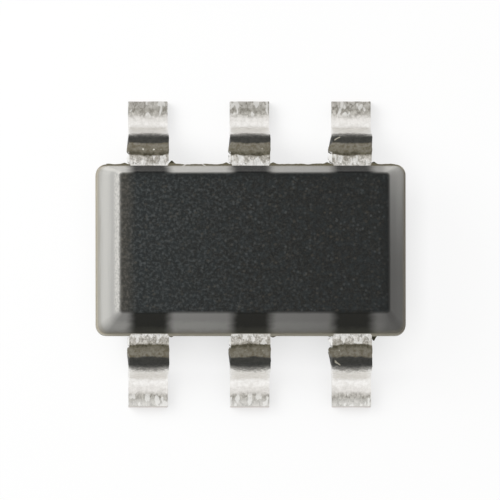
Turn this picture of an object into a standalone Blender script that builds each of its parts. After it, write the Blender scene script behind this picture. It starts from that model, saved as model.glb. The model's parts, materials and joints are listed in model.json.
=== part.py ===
"""A battery charger chip in a six-lead moulded small-outline package.

Metres, +Z up. The board surface is Z = 0, and the origin lies on it under the middle of the body.
The body is long in X, and its leads leave it towards -Y and +Y. Lead 1 is the -X lead on the -Y
side, and the numbers run anticlockwise seen from above.

The package is put together here as it is in the factory. Leads and die paddle are sheet metal,
drawn as a middle surface and given their thickness. The die is glued to the paddle, and wires run
from the die to the inner leads. The epoxy body is then moulded round all of that: its pockets are
the same pieces, grown by one clearance.
"""

import math

import bmesh
import bpy
from mathutils import Matrix, Vector

MM = 0.001

# Leadframe: one sheet of copper, stamped and then formed
LEADS_PER_SIDE = 3
LEAD_PITCH = 0.95 * MM
LEAD_WIDTH = 0.365 * MM
LEAD_THICKNESS = 0.15 * MM
SHOULDER_LENGTH = 0.10 * MM  # flat run from the body to the upper bend
UPPER_INSIDE_RADIUS = 0.05 * MM
LOWER_INSIDE_RADIUS = 0.10 * MM
BEND_ANGLE = math.radians(78)  # from the shoulder down to the steep run
FOOT_LENGTH = 0.17 * MM  # flat run from the lower bend to the toe
BEND_STEPS = 7
DAM_BAR_STUB = 0.02 * MM  # what trimming leaves of the dam bar on each side of a lead
DAM_BAR_WIDTH = 0.09 * MM
CORNER_RUN = 0.02 * MM  # length over which a stamped edge changes its width
STAMPED_EDGE = 0.012 * MM  # rounding that stamping leaves along an edge

# Inside the body: anchors, paddle and downset
ANCHOR_DEPTH = 0.32 * MM  # how far a lead reaches into the body
ANCHOR_HEAD_WIDTH = 0.54 * MM
ANCHOR_HEAD_LENGTH = 0.15 * MM
ANCHOR_NECK_WIDTH = 0.27 * MM
SEAL_LENGTH = 0.05 * MM  # full-width run of a lead just inside the wall
PADDLE_GAP = 0.10 * MM  # between the paddle and the tips of the leads
PADDLE_END_COVER = 0.38 * MM  # epoxy past each end of the paddle
PADDLE_CORNER = 0.05 * MM
DOWNSET = 0.12 * MM  # how far the paddle lies below the leads
DOWNSET_ANGLE = math.radians(40)
DOWNSET_INSIDE_RADIUS = 0.03 * MM
DOWNSET_STEPS = 3

# Moulded body
OVERALL_HEIGHT = 1.20 * MM  # from the board to the top of the body
BODY_LENGTH = 2.90 * MM
BODY_WIDTH = 1.60 * MM
STANDOFF = 0.08 * MM  # gap between the board and the underside of the body
LOWER_CAVITY = 0.47 * MM  # depth of the mould below the leadframe
END_DRAFT = math.radians(19.5)
SIDE_DRAFT = math.radians(14.5)
TOP_OFFSET_X = 0.03 * MM  # how far the top face lies off the middle, towards +X
TOP_OFFSET_Y = 0.035 * MM  # and towards +Y
FLASH = 0.01 * MM  # how far the parting band stands out all round
CORNER_RADIUS = 0.10 * MM
RIM_RADIUS = 0.035 * MM
CORNER_SEGMENTS = 5
RIM_SEGMENTS = 3

# Die and its glue
DIE_LENGTH = 1.30 * MM
DIE_THICKNESS = 0.20 * MM
DIE_SIDE_MARGIN = 0.07 * MM  # paddle left free along each long side of the die
GLUE_THICKNESS = 0.02 * MM
GLUE_FILLET = 0.03 * MM  # how far the glue spreads past the die

# Bond wires
WIRE_RADIUS = 0.015 * MM
BALL_RADIUS = 0.038 * MM
BALL_HEIGHT = 0.024 * MM
BALL_SHOULDER = 0.55  # share of the ball's height that keeps its full radius
BALL_CAP = 0.9  # share of the ball's height at which it narrows towards the wire
BALL_CAP_RADIUS = 1.5 * WIRE_RADIUS
LOOP_HEIGHT = 0.14 * MM  # top of a wire's loop above the die
LOOP_LIFT = 1.55  # pull of a loop's first handle straight up, in loop heights
LOOP_REACH = 0.55  # share of the way to the stitch at which the second handle lies
LOOP_ARCH = 1.1  # height of the second handle, in loop heights
STITCH_LENGTH = 0.08 * MM  # end of a wire, pressed flat on its lead
STITCH_FLATNESS = 0.45
PAD_INSET = 0.06 * MM  # from the die's edge to the middle of a bond pad
PAD_PITCH = 0.42 * MM
TWIN_WIRE_PITCH = 0.10 * MM  # between the two wires of a power lead
LOOP_POINTS = 12
POWER_LEADS = (3, 4)

# Room left round every piece that is moulded in, and between pieces that touch
CLEARANCE = 0.003 * MM
SLIVER = CLEARANCE / 6  # faces thinner than this are dissolved

# Levels and places that follow
LEAD_LEVEL = STANDOFF + LOWER_CAVITY + LEAD_THICKNESS / 2  # middle of the sheet in the body
LEAD_TOP = LEAD_LEVEL + LEAD_THICKNESS / 2
UPPER_CAVITY = OVERALL_HEIGHT - LEAD_TOP  # depth of the mould above the leadframe
PADDLE_LEVEL = LEAD_LEVEL - DOWNSET
PADDLE_TOP = PADDLE_LEVEL + LEAD_THICKNESS / 2
GLUE_BOTTOM = PADDLE_TOP + CLEARANCE
DIE_BOTTOM = GLUE_BOTTOM + GLUE_THICKNESS + CLEARANCE
DIE_TOP = DIE_BOTTOM + DIE_THICKNESS
WALL = BODY_WIDTH / 2
LEAD_TIP = WALL - ANCHOR_DEPTH
PADDLE_EDGE = LEAD_TIP - PADDLE_GAP
DIE_WIDTH = 2 * (PADDLE_EDGE - DIE_SIDE_MARGIN)
PADDLE_LEAD = (LEADS_PER_SIDE + 1) // 2


class Strip:
    """A strip of sheet metal seen from its side, drawn outwards as its middle line in Y and Z.

    Each point keeps the strip's half width there. The heading is the slope: 0 is level, and a
    negative heading runs down.
    """

    def __init__(self, y, z, half_width):
        self.y = y
        self.z = z
        self.half_width = half_width
        self.heading = 0.0
        self.points = [(half_width, y, z)]

    def run(self, length, half_width=None):
        """Goes straight on, and reaches the half width given at the end of the run."""
        if half_width is not None:
            self.half_width = half_width
        self.y += length * math.cos(self.heading)
        self.z += length * math.sin(self.heading)
        self.points.append((self.half_width, self.y, self.z))

    def bend(self, radius, angle, steps, half_widths=None):
        """Turns by an angle, up if it is positive, round a radius of the middle line."""
        chord = 2 * radius * math.sin(abs(angle) / steps / 2)
        for step in range(steps):
            self.heading += angle / steps / 2
            self.run(chord, half_widths and half_widths[step])
            self.heading += angle / steps / 2


def lead_x(number):
    """X of a lead's middle."""
    column = number - 1 if number <= LEADS_PER_SIDE else 2 * LEADS_PER_SIDE - number
    return (column - (LEADS_PER_SIDE - 1) / 2) * LEAD_PITCH


def lead_side(number):
    """The side of the body on which a lead leaves it: -1 or 1 along Y."""
    return -1 if number <= LEADS_PER_SIDE else 1


def material(name, colour, roughness, metallic):
    made = bpy.data.materials.new(name)
    made.use_nodes = True
    shader = made.node_tree.nodes["Principled BSDF"]
    shader.inputs["Base Color"].default_value = (*colour, 1.0)
    shader.inputs["Roughness"].default_value = roughness
    shader.inputs["Metallic"].default_value = metallic
    made.diffuse_color = (*colour, 1.0)
    made.roughness = roughness
    made.metallic = metallic
    return made


def new_object(name, collection, made=None):
    """An object with an empty mesh, or with the bmesh that is given."""
    mesh = bpy.data.meshes.new(name)
    if made is not None:
        made.to_mesh(mesh)
        made.free()
    thing = bpy.data.objects.new(name, mesh)
    collection.objects.link(thing)
    return thing


def box(name, collection, length, width, bottom, top):
    """A block with its middle on the Z axis."""
    made = bmesh.new()
    bmesh.ops.create_cube(made, size=1.0)
    bmesh.ops.scale(made, vec=(length, width, top - bottom), verts=made.verts)
    bmesh.ops.translate(made, vec=(0, 0, (top + bottom) / 2), verts=made.verts)
    return new_object(name, collection, made)


def evaluated_mesh(thing):
    """A new mesh of the object with its modifiers, or its curve's bevel, worked in."""
    bpy.context.view_layer.update()
    graph = bpy.context.evaluated_depsgraph_get()
    return bpy.data.meshes.new_from_object(thing.evaluated_get(graph))


def inner_lead(number):
    """The part of a lead that the body holds, from its tip to the seal just inside the wall."""
    neck = ANCHOR_NECK_WIDTH / 2
    if number == PADDLE_LEAD:
        strip = paddle_and_ramp()
    else:
        head = ANCHOR_HEAD_WIDTH / 2
        strip = Strip(LEAD_TIP, LEAD_LEVEL, head - CORNER_RUN)
        strip.run(CORNER_RUN, head)
        strip.run(ANCHOR_HEAD_LENGTH - CORNER_RUN)
        strip.run(CORNER_RUN, neck)
    strip.run(WALL - SEAL_LENGTH - CORNER_RUN - strip.y)
    strip.run(CORNER_RUN, LEAD_WIDTH / 2)
    return strip


def paddle_and_ramp():
    """The die paddle and the ramp that carries it, up to the level of the leads."""
    half_length = BODY_LENGTH / 2 - PADDLE_END_COVER
    strip = Strip(-PADDLE_EDGE, PADDLE_LEVEL, half_length - PADDLE_CORNER)
    strip.run(PADDLE_CORNER, half_length)
    strip.run(2 * (PADDLE_EDGE - PADDLE_CORNER))
    strip.run(PADDLE_CORNER, half_length - PADDLE_CORNER)
    strip.run(CORNER_RUN, ANCHOR_NECK_WIDTH / 2)
    radius = DOWNSET_INSIDE_RADIUS + LEAD_THICKNESS / 2
    rise_of_bends = 2 * radius * (1 - math.cos(DOWNSET_ANGLE))
    strip.bend(radius, DOWNSET_ANGLE, DOWNSET_STEPS)
    strip.run((DOWNSET - rise_of_bends) / math.sin(DOWNSET_ANGLE))
    strip.bend(radius, -DOWNSET_ANGLE, DOWNSET_STEPS)
    return strip


def outer_lead(strip):
    """The gull wing outside the body: shoulder, two bends and the solder foot."""
    half_width = LEAD_WIDTH / 2
    stub = half_width + DAM_BAR_STUB
    upper_radius = UPPER_INSIDE_RADIUS + LEAD_THICKNESS / 2
    lower_radius = LOWER_INSIDE_RADIUS + LEAD_THICKNESS / 2
    bend_length = upper_radius * BEND_ANGLE / BEND_STEPS
    stub_steps = max(1, round(DAM_BAR_WIDTH / bend_length))
    widths = [stub] * stub_steps + [half_width] * BEND_STEPS
    drop_of_bends = (upper_radius + lower_radius) * (1 - math.cos(BEND_ANGLE))
    drop = LEAD_LEVEL - LEAD_THICKNESS / 2

    strip.run(WALL + SHOULDER_LENGTH - CORNER_RUN - strip.y)
    strip.run(CORNER_RUN, stub)
    strip.bend(upper_radius, -BEND_ANGLE, BEND_STEPS, widths)
    strip.run((drop - drop_of_bends) / math.sin(BEND_ANGLE))
    strip.bend(lower_radius, BEND_ANGLE, BEND_STEPS)
    strip.run(FOOT_LENGTH)


def lead(number, collection):
    """One stamped and formed lead, drawn for the +Y side and turned to its own."""
    strip = inner_lead(number)
    outer_lead(strip)
    made = bmesh.new()
    left = [made.verts.new((-half, y, z)) for half, y, z in strip.points]
    spine = [made.edges.new(pair) for pair in zip(left, left[1:])]
    swept = bmesh.ops.extrude_edge_only(made, edges=spine)["geom"]
    right = [item for item in swept if isinstance(item, bmesh.types.BMVert)]
    bmesh.ops.scale(made, vec=(-1, 1, 1), verts=right)
    if lead_side(number) < 0:
        bmesh.ops.rotate(made, matrix=Matrix.Rotation(math.pi, 3, "Z"), verts=made.verts)
    bmesh.ops.recalc_face_normals(made, faces=made.faces)
    name = f"lead_{number}_and_paddle" if number == PADDLE_LEAD else f"lead_{number}"
    thing = new_object(name, collection, made)
    thing.location.x = lead_x(number)
    sheet = thing.modifiers.new("sheet thickness", "SOLIDIFY")
    sheet.thickness = LEAD_THICKNESS
    sheet.offset = 0.0
    sheet.use_even_offset = True
    sheet.use_quality_normals = True
    edge = thing.modifiers.new("stamped edge", "BEVEL")
    edge.width = STAMPED_EDGE
    edge.segments = 1
    edge.limit_method = "ANGLE"
    edge.angle_limit = math.radians(60)
    return thing


def bond_spot(number, offset):
    """Where a wire is stitched on the flat top of a lead inside the body."""
    if number == PADDLE_LEAD:
        depth = SEAL_LENGTH + STITCH_LENGTH / 2
    else:
        depth = ANCHOR_DEPTH - ANCHOR_HEAD_LENGTH / 2
    return Vector((lead_x(number) + offset, lead_side(number) * (WALL - depth), LEAD_TOP + CLEARANCE))


def bond_pad(number, offset):
    """Where a wire's ball sits on the die, beside the lead that it goes to."""
    x = lead_x(number) / LEAD_PITCH * PAD_PITCH + offset
    return Vector((x, lead_side(number) * (DIE_WIDTH / 2 - PAD_INSET), DIE_TOP + CLEARANCE))


def loop_points(start, end):
    """Points along a wire: straight up out of its ball, over, and down to its stitch."""
    rise = Vector((0, 0, LOOP_HEIGHT - BALL_HEIGHT))
    up = start + rise * LOOP_LIFT
    over = start.lerp(end, LOOP_REACH) + rise * LOOP_ARCH
    for step in range(1, LOOP_POINTS + 1):
        t = step / LOOP_POINTS
        yield start * (1 - t) ** 3 + up * 3 * t * (1 - t) ** 2 + over * 3 * t**2 * (1 - t) + end * t**3


def bond_wire(name, collection, number, offset):
    """A wire with its pressed ball on the die, its loop and its flat stitch, in one piece."""
    pad = bond_pad(number, offset)
    spot = bond_spot(number, offset)
    along = Vector((spot.x - pad.x, spot.y - pad.y, 0)).normalized()
    neck = pad + Vector((0, 0, BALL_HEIGHT))
    stitch = spot + Vector((0, 0, WIRE_RADIUS)) - along * STITCH_LENGTH / 2
    ball = ((0, BALL_RADIUS), (BALL_SHOULDER, BALL_RADIUS), (BALL_CAP, BALL_CAP_RADIUS))
    points = [(pad + Vector((0, 0, BALL_HEIGHT * share)), radius) for share, radius in ball]
    points.append((neck, WIRE_RADIUS))
    points += [(point, WIRE_RADIUS) for point in loop_points(neck, stitch)]
    points += [(stitch + along * STITCH_LENGTH * share, WIRE_RADIUS) for share in (0.5, 1.0)]

    curve = bpy.data.curves.new(name, "CURVE")
    curve.dimensions = "3D"
    curve.bevel_depth = WIRE_RADIUS
    curve.bevel_resolution = 2
    curve.use_fill_caps = True
    spline = curve.splines.new("POLY")
    spline.points.add(len(points) - 1)
    for point, (place, radius) in zip(spline.points, points):
        point.co = (*place, 1.0)
        point.radius = radius / WIRE_RADIUS
    drawn = bpy.data.objects.new(name, curve)
    collection.objects.link(drawn)

    made = bmesh.new()
    made.from_mesh(evaluated_mesh(drawn))
    bmesh.ops.remove_doubles(made, verts=made.verts, dist=WIRE_RADIUS / 100)
    bmesh.ops.recalc_face_normals(made, faces=made.faces)
    bpy.data.objects.remove(drawn)
    bpy.data.curves.remove(curve)
    press_stitch(made, stitch, along)
    return new_object(name, collection, made)


def press_stitch(made, start, along):
    """Flattens a wire's end on its lead, from the whole wire at the start to the stitch's tail."""
    across = Vector((-along.y, along.x, 0))
    bottom = start.z - WIRE_RADIUS
    for vertex in made.verts:
        reach = (vertex.co - start).dot(along) / STITCH_LENGTH
        if reach <= 0:
            continue
        press = 1 + (STITCH_FLATNESS - 1) * min(1.0, reach)
        aside = (vertex.co - start).dot(across)
        under = vertex.co.z < start.z - WIRE_RADIUS / 2
        vertex.co.z = bottom if under else bottom + (vertex.co.z - bottom) * press
        vertex.co += across * aside * (1 / press - 1)


def glue_and_die(collection):
    """The die, and the glue that spreads a little past it on the paddle."""
    glue = box(
        "die_attach",
        collection,
        DIE_LENGTH,
        DIE_WIDTH,
        GLUE_BOTTOM,
        GLUE_BOTTOM + GLUE_THICKNESS,
    )
    for vertex in glue.data.vertices:
        if vertex.co.z < GLUE_BOTTOM + GLUE_THICKNESS / 2:
            vertex.co.x += math.copysign(GLUE_FILLET, vertex.co.x)
            vertex.co.y += math.copysign(GLUE_FILLET, vertex.co.y)
    die = box("silicon_die", collection, DIE_LENGTH, DIE_WIDTH, DIE_BOTTOM, DIE_TOP)
    return glue, die


def mould_form(collection):
    """The body as the mould's two halves give it, before its pockets.

    A band as thick as the leadframe stands out by the flash. A drafted half rises above it and
    another one hangs below it. The top face lies a little off the middle, so the near and the left
    wall lean more than the other two.
    """
    made = bmesh.new()
    bmesh.ops.create_cube(made, size=1.0)
    bmesh.ops.scale(made, vec=(BODY_LENGTH, BODY_WIDTH, LEAD_THICKNESS), verts=made.verts)
    bmesh.ops.translate(made, vec=(0, 0, LEAD_LEVEL), verts=made.verts)
    corners = [edge for edge in made.edges if edge.verts[0].co.z != edge.verts[1].co.z]
    round_edges(made, corners, CORNER_RADIUS, CORNER_SEGMENTS)
    top_offset = Vector((TOP_OFFSET_X, TOP_OFFSET_Y, 0))
    for side, depth, offset in ((1, UPPER_CAVITY, top_offset), (-1, LOWER_CAVITY, Vector())):
        face = outermost_face(made, side)
        bmesh.ops.inset_region(made, faces=[face], thickness=FLASH, use_even_offset=True)
        pulled = bmesh.ops.extrude_face_region(made, geom=[face])["geom"]
        bmesh.ops.delete(made, geom=[face], context="FACES_ONLY")
        for vertex in pulled:
            if isinstance(vertex, bmesh.types.BMVert):
                vertex.co.x -= math.copysign(depth * math.tan(END_DRAFT), vertex.co.x)
                vertex.co.y -= math.copysign(depth * math.tan(SIDE_DRAFT), vertex.co.y)
                vertex.co += Vector((0, 0, side * depth)) + offset
    rims = [*outermost_face(made, 1).edges, *outermost_face(made, -1).edges]
    round_edges(made, rims, RIM_RADIUS, RIM_SEGMENTS)
    return new_object("mould_body", collection, made)


def outermost_face(made, side):
    """The highest face for side 1, or the lowest for side -1."""
    return max(made.faces, key=lambda face: side * face.calc_center_median().z)


def round_edges(made, edges, radius, segments):
    bmesh.ops.bevel(
        made,
        geom=edges,
        offset=radius,
        offset_type="OFFSET",
        segments=segments,
        profile=0.5,
        affect="EDGES",
    )


def pocket(piece, cutters):
    """A cutter the shape of a piece, grown by the clearance on every face."""
    made = bmesh.new()
    made.from_mesh(evaluated_mesh(piece))
    made.normal_update()
    moves = [vertex.normal * vertex.calc_shell_factor() * CLEARANCE for vertex in made.verts]
    for vertex, move in zip(made.verts, moves):
        vertex.co += move
    cutter = new_object(f"{piece.name}_pocket", cutters, made)
    cutter.matrix_world = piece.matrix_world
    cutter.display_type = "WIRE"
    cutter.hide_render = True


def cut_pockets(body, cutters):
    """Takes all the pockets out of the body, and clears the slivers that so many cuts leave."""
    cut = body.modifiers.new("moulded-in pieces", "BOOLEAN")
    cut.operation = "DIFFERENCE"
    cut.operand_type = "COLLECTION"
    cut.collection = cutters
    cut.solver = "MANIFOLD"
    made = bmesh.new()
    made.from_mesh(evaluated_mesh(body))
    bmesh.ops.triangulate(made, faces=made.faces)
    bmesh.ops.dissolve_degenerate(made, dist=SLIVER, edges=made.edges)
    bmesh.ops.triangulate(made, faces=made.faces)
    body.modifiers.remove(cut)
    made.to_mesh(body.data)
    made.free()


def finish(piece, look, smooth_below=None):
    piece.data.materials.append(look)
    if smooth_below is not None:
        piece.data.shade_smooth()
        piece.data.set_sharp_from_angle(angle=smooth_below)


def main():
    for thing in list(bpy.data.objects):
        bpy.data.objects.remove(thing)
    package = bpy.data.collections.new("battery charger chip")
    cutters = bpy.data.collections.new("pocket cutters")
    bpy.context.scene.collection.children.link(package)
    bpy.context.scene.collection.children.link(cutters)

    tin = material("tin plated copper", (0.72, 0.70, 0.66), 0.32, 1.0)
    gold = material("gold wire", (1.0, 0.70, 0.30), 0.2, 1.0)
    silicon = material("silicon", (0.16, 0.17, 0.20), 0.15, 0.6)
    glue_look = material("silver filled glue", (0.45, 0.45, 0.44), 0.6, 0.3)
    epoxy = material("moulding compound", (0.035, 0.034, 0.032), 0.6, 0.0)

    inside = []
    for number in range(1, 2 * LEADS_PER_SIDE + 1):
        made = lead(number, package)
        finish(made, tin, math.radians(35))
        inside.append(made)
    glue, die = glue_and_die(package)
    finish(glue, glue_look)
    finish(die, silicon)
    inside += [glue, die]
    for number in range(1, 2 * LEADS_PER_SIDE + 1):
        twins = (("a", -0.5), ("b", 0.5)) if number in POWER_LEADS else (("", 0.0),)
        for suffix, share in twins:
            made = bond_wire(f"bond_wire_{number}{suffix}", package, number, share * TWIN_WIRE_PITCH)
            finish(made, gold, math.radians(50))
            inside.append(made)

    body = mould_form(package)
    for piece in inside:
        pocket(piece, cutters)
    cut_pockets(body, cutters)
    finish(body, epoxy, math.radians(30))


main()
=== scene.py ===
"""Looks of a battery charger chip in a six-lead moulded small-outline package.

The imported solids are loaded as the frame. The six leads and the moulded body are modelled again
with the surface of the real ones, and the die, its glue and the bond wires get their finishes.
Pieces are made in metres, from lengths in millimetres times MM. Finishes work in millimetres on
the part's own coordinates. +Y is the far side of the photograph and +X is its right.
"""

import json
import logging
import math
from collections.abc import Callable, Sequence
from dataclasses import dataclass, field
from enum import Enum

import bmesh
import bpy
from mathutils import Matrix, Vector, noise

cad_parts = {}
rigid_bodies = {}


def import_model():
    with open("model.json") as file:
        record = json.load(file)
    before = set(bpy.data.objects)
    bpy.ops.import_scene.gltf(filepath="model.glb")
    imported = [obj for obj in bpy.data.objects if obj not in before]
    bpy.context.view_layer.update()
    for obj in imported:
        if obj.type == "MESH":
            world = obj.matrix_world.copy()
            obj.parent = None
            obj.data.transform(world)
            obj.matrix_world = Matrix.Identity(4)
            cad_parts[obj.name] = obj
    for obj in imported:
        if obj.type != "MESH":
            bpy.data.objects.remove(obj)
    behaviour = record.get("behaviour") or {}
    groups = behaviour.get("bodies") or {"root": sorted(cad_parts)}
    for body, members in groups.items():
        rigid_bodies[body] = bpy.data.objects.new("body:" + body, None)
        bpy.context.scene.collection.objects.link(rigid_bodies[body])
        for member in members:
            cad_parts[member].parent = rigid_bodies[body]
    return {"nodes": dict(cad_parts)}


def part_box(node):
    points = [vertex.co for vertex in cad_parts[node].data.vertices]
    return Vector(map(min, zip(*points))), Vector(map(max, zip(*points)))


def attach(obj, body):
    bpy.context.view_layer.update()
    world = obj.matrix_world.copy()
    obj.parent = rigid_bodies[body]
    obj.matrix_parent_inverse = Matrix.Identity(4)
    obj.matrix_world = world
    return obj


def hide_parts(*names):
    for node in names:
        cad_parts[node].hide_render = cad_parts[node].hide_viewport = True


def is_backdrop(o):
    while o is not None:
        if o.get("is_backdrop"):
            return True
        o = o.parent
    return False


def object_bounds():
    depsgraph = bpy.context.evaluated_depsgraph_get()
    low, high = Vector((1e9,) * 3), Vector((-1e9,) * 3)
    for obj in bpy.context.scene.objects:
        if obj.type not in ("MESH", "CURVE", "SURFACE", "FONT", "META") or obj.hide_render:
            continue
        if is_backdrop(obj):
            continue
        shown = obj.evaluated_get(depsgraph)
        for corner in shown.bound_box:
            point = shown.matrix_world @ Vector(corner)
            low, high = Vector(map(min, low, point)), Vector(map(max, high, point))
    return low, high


MM = 0.001
MICRON = 0.001 * MM
# Distance within which points are merged.
WELD = 0.01 * MICRON
BODY = "root"

log = logging.getLogger("charger_chip")

Colour = tuple[float, float, float]
Stops = tuple[tuple[float, Colour], ...]
# Value at which a mask starts to rise, and value at which it is full.
Fade = tuple[float, float]
# Middle of a mask's band, half its width, and half the width of its soft edge.
Band = tuple[float, float, float]

WHITE: Colour = (1.0, 1.0, 1.0)
EVEN = (1.0, 1.0, 1.0)
NOISE_MIDDLE = 0.5
# Y over which a finish goes over from the near side of the body to the far side.
FAR_SIDE: Fade = (-0.1, 0.1)


def in_mm(*lengths: float) -> tuple[float, ...]:
    """Lengths that are given in millimetres, in metres."""
    return tuple(length * MM for length in lengths)


def tone(red: float, green: float, blue: float) -> Colour:
    """Turns a colour as a screen shows it, 0 to 255, into linear light.

    Args:
        red: Red on the screen.
        green: Green on the screen.
        blue: Blue on the screen.

    Returns:
        The linear colour.
    """

    def linear(value: float) -> float:
        """Undoes a screen's curve for one of the three."""
        share = value / 255
        return share / 12.92 if share <= 0.04045 else ((share + 0.055) / 1.055) ** 2.4

    return linear(red), linear(green), linear(blue)


def stops(*rows: tuple[float, float, float, float]) -> Stops:
    """Stops of a colour ramp, each a place and a colour as a screen shows it."""
    return tuple((place, tone(*colour)) for place, *colour in rows)


class Slot(Enum):
    """Material slots of the part's record that the pieces modelled here have."""

    COMPOUND = "moulding_compound"
    TIN = "tinned_lead"


class Socket:
    """An output of a shader node, with which shader maths is written as Python expressions."""

    def __init__(self, graph: "Graph", output: bpy.types.NodeSocket) -> None:
        """Wraps the output of a node in its graph."""
        self.graph = graph
        self.output = output

    def beside(self, name: str) -> "Socket":
        """Another output of the same node, by its name."""
        return Socket(self.graph, self.output.node.outputs[name])

    def maths(self, operation: str, *others: "Socket | float") -> "Socket":
        """Result of a Math node whose inputs are this value and others."""
        return self.graph.maths(operation, self, *others)

    def __add__(self, other: "Socket | float") -> "Socket":
        """This value plus another."""
        return self.maths("ADD", other)

    def __sub__(self, other: "Socket | float") -> "Socket":
        """This value less another."""
        return self.maths("SUBTRACT", other)

    def __mul__(self, other: "Socket | float") -> "Socket":
        """This value times another."""
        return self.maths("MULTIPLY", other)

    def __truediv__(self, other: "Socket | float") -> "Socket":
        """This value divided by another."""
        return self.maths("DIVIDE", other)

    def __radd__(self, other: float) -> "Socket":
        """A number plus this value."""
        return self.graph.maths("ADD", other, self)

    def __rsub__(self, other: float) -> "Socket":
        """A number less this value."""
        return self.graph.maths("SUBTRACT", other, self)

    def __abs__(self) -> "Socket":
        """The value without its sign."""
        return self.maths("ABSOLUTE")

    def most(self, other: "Socket") -> "Socket":
        """The greater of this value and another."""
        return self.maths("MAXIMUM", other)

    def wrapped(self, pitch: float) -> "Socket":
        """The distance to the nearest multiple of a pitch, with its sign."""
        return self.maths("WRAP", pitch / 2, -pitch / 2)

    def swing(self, reach: float) -> "Socket":
        """A noise as a shift to either side of 0, over a reach."""
        return (self - NOISE_MIDDLE) * reach

    def fade(self, low: float, high: float) -> "Socket":
        """Rises smoothly from 0 to 1 as the value goes from low to high, or falls if low is greater.

        Args:
            low: Value that gives 0.
            high: Value that gives 1.

        Returns:
            The share reached.
        """
        if low > high:
            return 1 - self.fade(high, low)
        settings = {"interpolation_type": "SMOOTHSTEP"}
        sockets = {"Value": self, "From Min": low, "From Max": high}
        return self.graph.node("ShaderNodeMapRange", settings, sockets)

    def band(self, middle: float, half: float, soft: float) -> "Socket":
        """One in a band of values and 0 outside it.

        Args:
            middle: Middle of the band.
            half: Half its width, to the middle of its soft edge.
            soft: Half the width of its edge.

        Returns:
            The mask.
        """
        return abs(self - middle).fade(half + soft, half - soft)

    def axes(self) -> "tuple[Socket, Socket, Socket]":
        """Splits a place into X, Y and Z, in millimetres."""
        x = self.graph.node("ShaderNodeSeparateXYZ", None, {"Vector": self})
        return x / MM, x.beside("Y") / MM, x.beside("Z") / MM

    def stretched(self, stretch: Sequence[float]) -> "Socket":
        """A place whose patterns come out longer along each axis by the factors given.

        Args:
            stretch: The factors.

        Returns:
            The place, which is this one if all the factors are 1.
        """
        if stretch == EVEN:
            return self
        scale = tuple(1 / factor for factor in stretch)
        return self.graph.node("ShaderNodeMapping", None, {"Vector": self, "Scale": scale})


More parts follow.
